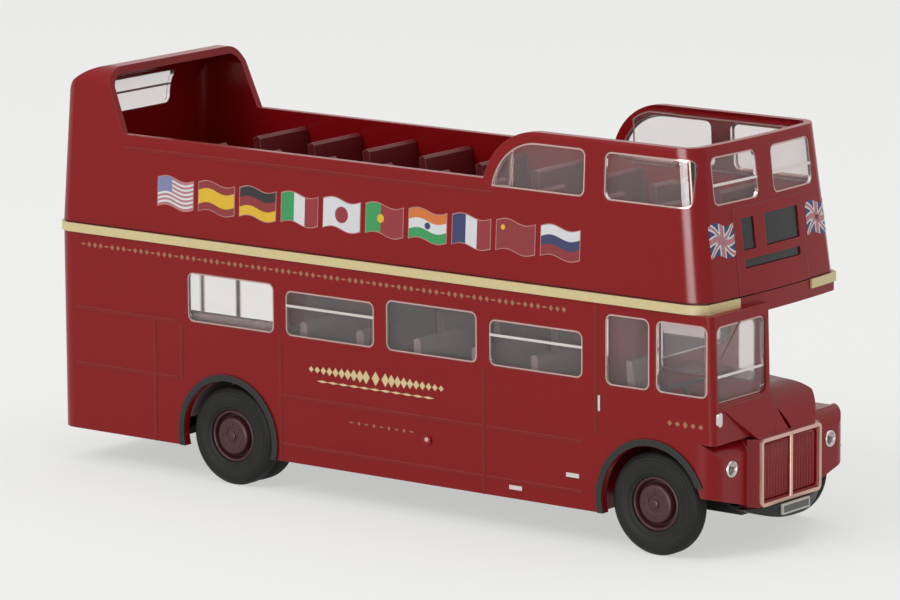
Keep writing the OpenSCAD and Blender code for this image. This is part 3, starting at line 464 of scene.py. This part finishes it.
# Each flag: rows of its sheet, and the ink at a point, from the hoist (u) and from the foot (v)
STRIPES = 13
CANTON_L = 0.4
CANTON_FOOT = 6 / STRIPES
FLAGS = [
    (STRIPES, lambda u, v: ("lilac" if u < CANTON_L and v > CANTON_FOOT
                            else ("rose", "white")[int(v * STRIPES) % 2])),
    (4, lambda u, v: "yellow" if 0.25 < v < 0.75 else "scarlet"),
    (3, lambda u, v: ("yellow", "scarlet", "black")[int(v * 3)]),
    (1, lambda u, v: ("green", "white", "red")[int(u * 3)]),
    (1, lambda u, v: "white"),
    (1, lambda u, v: "green" if u < 0.4 else "red"),
    (3, lambda u, v: ("green", "white", "orange")[int(v * 3)]),
    (1, lambda u, v: ("navy", "white", "red")[int(u * 3)]),
    (1, lambda u, v: "scarlet"),
    (3, lambda u, v: ("scarlet", "navy", "white")[int(v * 3)]),
]
# Round charges: flag, ink, place from the hoist and from the foot, radius
CHARGES = [
    (4, "red", 0.5, 0.5, 0.95 * MM),
    (5, "yellow", 0.4, 0.5, 0.5 * MM),
    (6, "navy", 0.5, 0.5, 0.4 * MM),
    (8, "yellow", 0.17, 0.72, 0.3 * MM),
]


def wave(u):
    """Rise of a waving flag's cloth at a share of its length."""
    return FLAG_WAVE * math.sin(2 * math.pi * u)


def flag_sheet(rows, grow, paint):
    """Waving sheet with its foot's hoist corner at the origin of the (x, z) plane."""
    bm = bmesh.new()
    bmesh.ops.create_grid(bm, x_segments=FLAG_COLUMNS, y_segments=rows, size=0.5)
    bmesh.ops.translate(bm, verts=bm.verts, vec=(0.5, 0.5, 0))
    for f in bm.faces:
        middle = f.calc_center_median()
        f.material_index = ink_index[paint(middle.x, middle.y)]
    for v in bm.verts:
        u, up = v.co.x, v.co.y
        v.co = Vector((u * FLAG_L + grow * (2 * u - 1), 0,
                       up * FLAG_H + grow * (2 * up - 1) + wave(u)))
    return bm


def place_flag(bm, x, side, lift):
    """Move a sheet to its place on the upper side and lay it there."""
    outward = OFFSIDE if side < 0 else NEARSIDE
    bmesh.ops.translate(bm, verts=bm.verts, vec=(x, side * UPPER_SIDE_Y, FLAG_TOP_Z - FLAG_H))
    settle(bm, "upper_body", -outward, lift, lift)


for side, side_name in ((-1, "offside"), (1, "nearside")):
    for i, (rows, paint) in enumerate(FLAGS):
        rear_edge = FLAG_X + i * FLAG_PITCH
        backing = flag_sheet(rows, FLAG_OUTLINE, lambda u, v: "outline")
        place_flag(backing, rear_edge, side, INK_LIFT)
        piece(f"flag_{i}_outline_{side_name}", backing, ink_list)
        field = flag_sheet(rows, 0, paint)
        place_flag(field, rear_edge, side, 2 * INK_LIFT)
        piece(f"flag_{i}_{side_name}", field, ink_list)
    for i, ink, u, v, radius in CHARGES:
        bm = bmesh.new()
        bmesh.ops.create_circle(bm, cap_ends=True, segments=24, radius=radius)
        bmesh.ops.rotate(bm, verts=bm.verts, matrix=Matrix.Rotation(QUARTER_TURN, 3, "X"))
        bmesh.ops.translate(bm, verts=bm.verts, vec=(u * FLAG_L, 0, v * FLAG_H + wave(u)))
        place_flag(bm, FLAG_X + i * FLAG_PITCH, side, 3 * INK_LIFT)
        piece(f"flag_{i}_charge_{side_name}", bm, [inks[ink]])

# Union flags on the front of the upper deck: sides, foot and height, and the sheet's divisions
FRONT_FLAGS = [(-11.2 * MM, -6.9 * MM), (7.4 * MM, 12.0 * MM)]
FRONT_FLAG_Z = 34.0 * MM
FRONT_FLAG_H = 3.6 * MM
FRONT_FLAG_COLUMNS = 24
FRONT_FLAG_ROWS = 8
# Layers of a union flag: ink, width of its diagonals and width of its cross
UNION_LAYERS = [("white", 0.62 * MM, 1.0 * MM), ("rose", 0.26 * MM, 0.6 * MM)]


def band(bm, length, width, angle):
    """Strip of ink through the middle of a flag."""
    made = bmesh.ops.create_grid(bm, x_segments=FRONT_FLAG_COLUMNS, y_segments=1, size=0.5)["verts"]
    bmesh.ops.scale(bm, verts=made, vec=(length, width, 1))
    bmesh.ops.rotate(bm, verts=made, matrix=Matrix.Rotation(angle, 3, "Z"))


def trim(bm, width, height):
    """Cut strips back to the edges of the flag."""
    for normal, reach in (((1, 0, 0), width), ((-1, 0, 0), width),
                          ((0, 1, 0), height), ((0, -1, 0), height)):
        bmesh.ops.bisect_plane(bm, geom=everything(bm), plane_co=Vector(normal) * reach / 2,
                               plane_no=normal, clear_outer=True)


def place_front_flag(bm, foot, width, lift):
    """Wave a sheet that is drawn about the origin and lay it on the bowed front."""
    for v in bm.verts:
        u = v.co.x / width + 0.5
        v.co = Vector((UPPER_FRONT_X, foot + u * width,
                       FRONT_FLAG_Z + v.co.y + FRONT_FLAG_H / 2 + wave(u)))
    settle(bm, "upper_body", -FORWARD, lift, INK_LIFT)


for i, (low, high) in enumerate(FRONT_FLAGS):
    width = high - low
    bm = bmesh.new()
    bmesh.ops.create_grid(bm, x_segments=FRONT_FLAG_COLUMNS, y_segments=FRONT_FLAG_ROWS, size=0.5)
    bmesh.ops.scale(bm, verts=bm.verts, vec=(width, FRONT_FLAG_H, 1))
    place_front_flag(bm, low, width, INK_LIFT)
    piece(f"front_flag_{i}_field", bm, [inks["navy"]])
    corner = math.atan2(FRONT_FLAG_H, width)
    for layer, (ink, diagonal, cross) in enumerate(UNION_LAYERS):
        bm = bmesh.new()
        for angle, wide in ((corner, diagonal), (-corner, diagonal),
                            (0, cross), (QUARTER_TURN, cross)):
            band(bm, 2 * width, wide, angle)
        trim(bm, width, FRONT_FLAG_H)
        place_front_flag(bm, low, width, (layer + 2) * INK_LIFT)
        piece(f"front_flag_{i}_{ink}", bm, [inks[ink]])

# Lozenge ornaments on the lower sides, in millimetres: heights of their rows, then middle, half
# width and half height of each
LINING_Z = 26.75
CREST_Z = 15.6
RULE_Z = 14.3
LOWER_LINE_Z = 10.0
LINING = [(-44.4 + 0.9 * i, LINING_Z, 0.3 if i % 4 else 0.42, 0.34 if i % 4 else 0.14)
          for i in range(80)]
CREST = [(-0.2 + side * (0.9 * i + 0.5 * (i > 0)), CREST_Z, 0.56 - 0.02 * i, 0.85 - 0.05 * i)
         for i in range(11) for side in ((1,) if i == 0 else (-1, 1))]
RULE = [(-0.3 + 1.55 * i, RULE_Z, 0.86, 0.15) for i in range(-5, 6)]
LOWER_LINE = [(0.6 + 1.1 * i, LOWER_LINE_Z, 0.2 if i % 2 else 0.36, 0.26 if i % 2 else 0.1)
              for i in range(-4, 5)]
CAB_LINE = [(43.3 + 1.05 * i, CREST_Z, 0.34, 0.42 if i == 0 else 0.3) for i in range(-2, 3)]
# Marks that the open platform leaves out of the nearside's lining
PLATFORM_MARKS = 12


def lozenges(name, marks, outward, ink=gold_ink):
    """Row of small printed diamonds laid on a lower side."""
    bm = bmesh.new()
    for x, z, half_w, half_h in marks:
        made = bmesh.ops.create_circle(bm, cap_ends=True, segments=4, radius=1)["verts"]
        bmesh.ops.scale(bm, verts=made, vec=(half_w * MM, half_h * MM, 1))
        bmesh.ops.rotate(bm, verts=made, matrix=Matrix.Rotation(QUARTER_TURN, 3, "X"))
        bmesh.ops.translate(bm, verts=made, vec=(x * MM, outward.y * LOWER_SIDE_Y, z * MM))
    settle(bm, "lower_body", -outward, INK_LIFT, INK_LIFT)
    piece(name, bm, [ink])


lozenges("offside_lining", LINING, OFFSIDE)
lozenges("nearside_lining", LINING[PLATFORM_MARKS:], NEARSIDE)
lozenges("offside_crest", CREST, OFFSIDE, cream_ink)
lozenges("offside_rule", RULE, OFFSIDE, cream_ink)
lozenges("offside_lower_line", LOWER_LINE, OFFSIDE)
lozenges("cab_line", CAB_LINE, OFFSIDE)

# Turned shapes: points this near are one
TURN_WELD = 0.001 * MM


def turned(profile, closed=False, steps=64):
    """Shape turned about the Y axis from points of radius and depth in millimetres."""
    bm = bmesh.new()
    points = [bm.verts.new((r * MM, y * MM, 0)) for r, y in profile]
    for a, b in zip(points, points[1:] + points[:1] if closed else points[1:]):
        bm.edges.new((a, b))
    bmesh.ops.spin(bm, geom=bm.verts[:] + bm.edges[:], cent=(0, 0, 0), axis=(0, 1, 0),
                   angle=2 * math.pi, steps=steps, use_merge=True)
    bmesh.ops.remove_doubles(bm, verts=bm.verts, dist=TURN_WELD)
    bmesh.ops.recalc_face_normals(bm, faces=bm.faces)
    return bm


# Tyre section in millimetres, from the bead over the sidewall to the middle of the tread: radius,
# and depth from the outer face
TYRE_HALF = [
    (3.1, 0.8), (3.1, 0.5), (3.18, 0.34), (3.5, 0.22), (3.56, 0.14), (4.0, 0.09), (4.1, 0.03),
    (4.6, 0.0), (5.0, 0.02), (5.06, 0.09), (5.3, 0.12), (5.36, 0.2), (5.58, 0.32), (5.76, 0.5),
    (5.86, 0.68), (5.9, 0.82), (5.9, 0.98), (5.81, 1.01), (5.81, 1.07), (5.9, 1.1), (5.9, 1.28),
    (5.81, 1.31),
]
TYRE_W = 2.7
# Wheel face from the middle outwards: hub cap, hub flange, nut ring, dished groove and rim lip
RIM_FACE = [
    (0, 0.14), (0.42, 0.16), (0.52, 0.22), (0.56, 0.42), (0.95, 0.45), (1.0, 0.36), (1.1, 0.34),
    (1.85, 0.3), (2.06, 0.34), (2.18, 0.46), (2.24, 0.7), (2.34, 1.2), (2.56, 1.26), (2.66, 1.15),
    (2.72, 0.66), (2.8, 0.52), (2.9, 0.46), (3.04, 0.5), (3.1, 0.6),
]
RIM_R = 3.1
# Wheel nuts in millimetres: radius of their ring, depth of their middle, foot, tip and height
NUTS = 8
NUT_RING = 1.52
NUT_DEPTH = 0.28
NUT_R = 0.17
NUT_TIP_R = 0.13
NUT_H = 0.2


def wheel_piece(name, bm, node, outward, depth, finish, body, replaces):
    """Stand a turned shape in the wheel of a node, its outer face that deep below the tyre's."""
    low, high = corners(node)
    middle = (low + high) / 2
    face = low.y if outward.y < 0 else high.y
    if outward.y > 0:
        bmesh.ops.rotate(bm, verts=bm.verts, matrix=Matrix.Rotation(math.pi, 3, "Z"))
    bmesh.ops.translate(bm, verts=bm.verts,
                        vec=(middle.x, face - outward.y * depth * MM, middle.z))
    piece(name, bm, [finish], body, replaces, smooth=True)


def make_rim(back):
    """Wheel centre with its nuts, closed at the back."""
    bm = turned(RIM_FACE + [(RIM_R, back), (0, back)])
    for i in range(NUTS):
        made = bmesh.ops.create_cone(bm, cap_ends=True, segments=6, radius1=NUT_R * MM,
                                     radius2=NUT_TIP_R * MM, depth=NUT_H * MM)["verts"]
        round_hub = Matrix.Rotation(2 * math.pi * i / NUTS, 3, "Y")
        bmesh.ops.rotate(bm, verts=made,
                         matrix=round_hub @ Matrix.Rotation(QUARTER_TURN, 3, "X"))
        bmesh.ops.translate(bm, verts=made, vec=round_hub @ Vector((NUT_RING, NUT_DEPTH, 0)) * MM)
    return bm


def make_tyre():
    """Tyre with stepped sidewalls and a grooved tread."""
    far_half = [(r, TYRE_W - depth) for r, depth in reversed(TYRE_HALF)]
    return turned(TYRE_HALF + far_half, closed=True)


def width_mm(node):
    """Width of a CAD node across the bus in millimetres."""
    low, high = corners(node)
    return (high.y - low.y) / MM


for axle in ("front", "rear"):
    for side, outward in (("offside", OFFSIDE), ("nearside", NEARSIDE)):
        body = axle + "_wheels"
        tyre, rim = f"{axle}_tyre_{side}", f"{axle}_rim_{side}"
        wheel_piece(f"{axle}_wheel_{side}", make_rim(width_mm(rim)), tyre, outward, 0,
                    rim_abs, body, [rim])
        wheel_piece(f"{axle}_outer_tyre_{side}", make_tyre(), tyre, outward, 0,
                    tyre_vinyl, body, [tyre])
        inner = width_mm(tyre) - TYRE_W
        if inner > TYRE_W / 2:
            wheel_piece(f"{axle}_inner_tyre_{side}", make_tyre(), tyre, outward, inner,
                        tyre_vinyl, body, [])

# Headlamps: middle of each face
low, high = corners("headlamps")
LAMP_R = (high.z - low.z) / 2
LAMP_SPOTS = [Vector((high.x, y, low.z + LAMP_R)) for y in (low.y + LAMP_R, high.y - LAMP_R)]
LAMP_STEPS = 40
# Sections of the bezel with its reflector and of the lens, in millimetres: radius, and depth from
# the face
BEZEL = [(1.0, 0.6), (1.0, 0.2), (0.95, 0.06), (0.87, 0.0), (0.78, 0.05), (0.75, 0.18),
         (0.6, 0.34), (0.35, 0.44), (0, 0.48), (0, 0.6)]
LENS = [(0, 0.03), (0.35, 0.05), (0.6, 0.09), (0.76, 0.15), (0.76, 0.2), (0.6, 0.14),
        (0.35, 0.1), (0, 0.08)]
# Painted dark reflection, a black disc low in each lamp: radius, depth, top over the middle, and
# thickness
DARK_DISC_R = 0.58 * MM
DARK_DISC_DEPTH = 0.24 * MM
DARK_DISC_TOP = 0.1 * MM
DARK_DISC_THICK = 0.06 * MM


def lamp_shapes(profile):
    """A turned shape at both headlamps, facing forward."""
    bm = turned(profile, steps=LAMP_STEPS)
    bmesh.ops.rotate(bm, verts=bm.verts, matrix=Matrix.Rotation(QUARTER_TURN, 3, "Z"))
    first = bm.verts[:]
    twin = bmesh.ops.duplicate(bm, geom=everything(bm))["geom"]
    second = [v for v in twin if isinstance(v, bmesh.types.BMVert)]
    for verts, spot in zip((first, second), LAMP_SPOTS):
        bmesh.ops.translate(bm, verts=verts, vec=spot)
    return bm


piece("headlamp_bezels", lamp_shapes(BEZEL), [silver_foil],
      replaces=["headlamps"], smooth=True)
piece("headlamp_lenses", lamp_shapes(LENS), [glazing], smooth=True)
# Black half discs low in the headlamps: a painted dark reflection in the lower half of each dish
dark_discs = bmesh.new()
for spot in LAMP_SPOTS:
    made = bmesh.ops.create_circle(dark_discs, cap_ends=True, segments=32, radius=DARK_DISC_R)["verts"]
    bmesh.ops.rotate(dark_discs, verts=made, matrix=Matrix.Rotation(QUARTER_TURN, 3, "Y"))
    bmesh.ops.translate(dark_discs, verts=made, vec=spot - FORWARD * DARK_DISC_DEPTH)
bmesh.ops.bisect_plane(dark_discs, geom=everything(dark_discs), plane_co=LAMP_SPOTS[0] + UP * DARK_DISC_TOP,
                       plane_no=UP, clear_outer=True)
bmesh.ops.solidify(dark_discs, geom=everything(dark_discs), thickness=DARK_DISC_THICK)
piece("headlamp_painted_dark_reflection", dark_discs, [blind_black])


def rod(bm, start, end, radius, tip):
    """Tapered round rod between two points."""
    along = end - start
    made = bmesh.ops.create_cone(bm, cap_ends=True, segments=12, radius1=radius, radius2=tip,
                                 depth=along.length)["verts"]
    bmesh.ops.rotate(bm, verts=made, matrix=along.to_track_quat("Z", "Y").to_matrix())
    bmesh.ops.translate(bm, verts=made, vec=(start + end) / 2)


# Windscreen wiper: pivot over the screen, elbow, and end of the blade, which laps onto the arm
WIPER_X = corners("cab_glazing")[1].x + 0.06 * MM
PIVOT, ELBOW, BLADE_END = (Vector((WIPER_X, y * MM, z * MM))
                           for y, z in ((-8.2, 26.7), (-9.6, 25.3), (-11.5, 23.3)))
BLADE_LAP = 0.3
PIVOT_HALF = FORWARD * 0.05 * MM
wiper = bmesh.new()
rod(wiper, PIVOT, ELBOW, 0.09 * MM, 0.06 * MM)
rod(wiper, ELBOW + (PIVOT - ELBOW) * BLADE_LAP, BLADE_END, 0.06 * MM, 0.05 * MM)
rod(wiper, PIVOT - PIVOT_HALF, PIVOT + PIVOT_HALF, 0.2 * MM, 0.16 * MM)
piece("windscreen_wiper", wiper, [grey_abs], smooth=True)

# Grille field with fine upright ribs: their spacing, width, height and root in the field, the gap
# at their ends, and how far the edges of both are rounded
RIB_PITCH = 0.56 * MM
RIB_W = 0.3 * MM
RIB_PROUD = 0.1 * MM
RIB_ROOT = 0.05 * MM
RIB_END = UP * 0.2 * MM
RIB_ROUND = 0.05 * MM
FIELD_ROUND = 0.04 * MM
# Thin bright frame round it: width of its sides, its corners, and its middle bar
FRAME_SIDE = 0.42 * MM
FRAME_CORNER = 0.6 * MM
BAR_HALF = 0.24 * MM
BAR_ROUND = 0.08 * MM


def block(bm, low, high, round_r):
    """Rounded block between two corners."""
    made = bmesh.ops.create_cube(bm, size=1)["verts"]
    bmesh.ops.scale(bm, verts=made, vec=high - low)
    bmesh.ops.translate(bm, verts=made, vec=(low + high) / 2)
    edges = [e for e in bm.edges if e.verts[0] in made]
    bmesh.ops.bevel(bm, geom=edges, offset=round_r, segments=2, profile=0.5, affect="EDGES",
                    material=-1)


low, high = corners("grille_slats")
field_x = high.x - RIB_PROUD
ribs = bmesh.new()
block(ribs, low, Vector((field_x, high.y, high.z)), FIELD_ROUND)
count = int((high.y - low.y) / RIB_PITCH)
first = (low.y + high.y - (count - 1) * RIB_PITCH) / 2
for i in range(count):
    y = first + i * RIB_PITCH
    block(ribs, Vector((field_x - RIB_ROOT, y - RIB_W / 2, low.z)) + RIB_END,
          Vector((high.x, y + RIB_W / 2, high.z)) - RIB_END, RIB_ROUND)
piece("grille_ribs", ribs, [red_abs], replaces=["grille_slats"], smooth=True)

low, high = corners("grille_frame")
middle = (low + high) / 2
surround = bmesh.new()
bmesh.ops.create_grid(surround, x_segments=1, y_segments=1, size=0.5)
bmesh.ops.rotate(surround, verts=surround.verts, matrix=Matrix.Rotation(QUARTER_TURN, 3, "Y"))
bmesh.ops.scale(surround, verts=surround.verts, vec=(1, high.y - low.y, high.z - low.z))
bmesh.ops.translate(surround, verts=surround.verts, vec=(low.x, middle.y, middle.z))
bmesh.ops.bevel(surround, geom=surround.verts[:], offset=FRAME_CORNER, segments=6, profile=0.5,
                affect="VERTICES", material=-1)
field = surround.faces[:]
bmesh.ops.inset_region(surround, faces=field, thickness=FRAME_SIDE, use_boundary=True,
                       use_even_offset=True)
bmesh.ops.delete(surround, geom=field, context="FACES")
outer = bmesh.ops.extrude_face_region(surround, geom=surround.faces[:])["geom"]
bmesh.ops.translate(surround, verts=[v for v in outer if isinstance(v, bmesh.types.BMVert)],
                    vec=(high.x - low.x, 0, 0))
bmesh.ops.recalc_face_normals(surround, faces=surround.faces)
block(surround, Vector((low.x, -BAR_HALF, low.z)) + RIB_END,
      Vector((high.x, BAR_HALF, high.z)) - RIB_END, BAR_ROUND)
piece("grille_surround", surround, [copper_foil], replaces=["grille_frame"])

# Bright boss a little above the middle of the filler cap, in millimetres: radius, and depth from
# the cap's face
BOSS = [(0, -0.04), (0.2, -0.035), (0.28, -0.01), (0.3, 0.05), (0, 0.05)]
BOSS_STEPS = 24
BOSS_RISE = 0.1 * MM
low, high = corners("filler_cap")
boss = turned(BOSS, steps=BOSS_STEPS)
bmesh.ops.translate(boss, verts=boss.verts,
                    vec=((low.x + high.x) / 2, low.y, (low.z + high.z) / 2 + BOSS_RISE))
piece("filler_cap_boss", boss, [rose_foil], smooth=True)

# Second upright rail of the platform, beside its pole: place, and its foot as shares of its width
RAIL_X = -41.6 * MM
FOOT_H = 0.3 * MM
FOOT_R = 0.7
FOOT_TIP_R = 0.5
low, high = corners("platform_pole")
pole_w = high.x - low.x
rail_foot = Vector((RAIL_X, (low.y + high.y) / 2, low.z))
rail = bmesh.new()
rod(rail, rail_foot, rail_foot + UP * (high.z - low.z), pole_w / 2, pole_w / 2)
rod(rail, rail_foot, rail_foot + UP * FOOT_H, FOOT_R * pole_w, FOOT_TIP_R * pole_w)
piece("platform_rail", rail, [silver_foil], smooth=True)

# Blank plate: rounded edges, and the width and height of its pale border
PLATE_ROUND = 0.06 * MM
BORDER_W = 0.2 * MM
BORDER_PROUD = 0.06 * MM
plate = bmesh.new()
block(plate, *corners("front_plate"), PLATE_ROUND)
face = max(plate.faces, key=lambda f: f.normal.x * f.calc_area())
bmesh.ops.inset_region(plate, faces=[face], thickness=BORDER_W, depth=-BORDER_PROUD)
face.material_index = 1
piece("blank_plate", plate, [plate_rim, plate_field], replaces=["front_plate"])

# Studio: paper colour and roughness, half the floor's width in metres, share of the floor that is
# evenly bright, and the light from all round
PAPER = "#F1F2F0"
PAPER_ROUGH = 0.8
FLOOR_HALF = 4
FLOOR_EVEN = 0.6
WORLD_LIGHT = 0.6
# Soft boxes: place, width and height in metres, power in watts, and whether it lights the object
# or only shines in its gloss
SOFT_BOXES = [
    ("key_softbox", (-0.25, -0.75, 0.75), (0.5, 0.5), 3.5, True),
    ("top_softbox", (0.1, 0.1, 1.0), (0.8, 0.8), 2.0, True),
    ("side_window", (0.25, -0.9, 0.09), (0.55, 0.16), 7.0, False),
]


def seen_directly(tree):
    """1 for what the camera, a reflection or a pane shows, 0 for light that falls on the object."""
    path = add(tree, "ShaderNodeLightPath")
    shown = add(tree, "ShaderNodeMath", operation="MAXIMUM",
                links={0: path.outputs["Is Camera Ray"], 1: path.outputs["Is Glossy Ray"]})
    return add(tree, "ShaderNodeMath", operation="MAXIMUM",
               links={0: shown.outputs[0], 1: path.outputs["Is Transmission Ray"]}).outputs[0]


def seamless_paper():
    """White seamless paper, lit evenly enough that the object's shadow stays faint."""
    material, tree, shader, place = new_finish("white_seamless_paper")
    shader.inputs["Base Color"].default_value = linear(PAPER)
    shader.inputs["Roughness"].default_value = PAPER_ROUGH
    shader.inputs["Specular IOR Level"].default_value = 0
    even = add(tree, "ShaderNodeEmission", {"Color": linear(PAPER)})
    share = add(tree, "ShaderNodeMath", {1: FLOOR_EVEN}, {0: seen_directly(tree)},
                operation="MULTIPLY")
    both = add(tree, "ShaderNodeMixShader",
               links={0: share.outputs[0], 1: shader.outputs[0], 2: even.outputs[0]})
    tree.links.new(both.outputs[0], tree.nodes["Material Output"].inputs["Surface"])
    return material


def make_stage():
    """Pale floor and the soft studio light round it."""
    bm = bmesh.new()
    bmesh.ops.create_grid(bm, x_segments=1, y_segments=1, size=FLOOR_HALF)
    mesh = bpy.data.meshes.new("floor")
    bm.to_mesh(mesh)
    bm.free()
    mesh.materials.append(seamless_paper())
    floor = bpy.data.objects.new("floor", mesh)
    scene.collection.objects.link(floor)

    world = bpy.data.worlds.new("studio")
    scene.world = world
    world.use_nodes = True
    tree = world.node_tree
    light = tree.nodes["Background"]
    light.inputs["Color"].default_value = linear("#FFFFFF")
    light.inputs["Strength"].default_value = WORLD_LIGHT
    wall = add(tree, "ShaderNodeBackground", {"Color": linear(PAPER)})
    both = add(tree, "ShaderNodeMixShader",
               links={0: seen_directly(tree), 1: light.outputs[0], 2: wall.outputs[0]})
    tree.links.new(both.outputs[0], tree.nodes["World Output"].inputs["Surface"])

    for name, spot, size, power, lights_up in SOFT_BOXES:
        data = bpy.data.lights.new(name, "AREA")
        data.energy = power
        data.shape = "RECTANGLE"
        data.size, data.size_y = size
        lamp = bpy.data.objects.new(name, data)
        scene.collection.objects.link(lamp)
        lamp.location = spot
        lamp.rotation_euler = (TARGET - Vector(spot)).to_track_quat("-Z", "Y").to_euler()
        lamp.visible_diffuse = lights_up
        lamp.visible_camera = False


make_camera()
make_stage()
scene.view_settings.view_transform = "Standard"
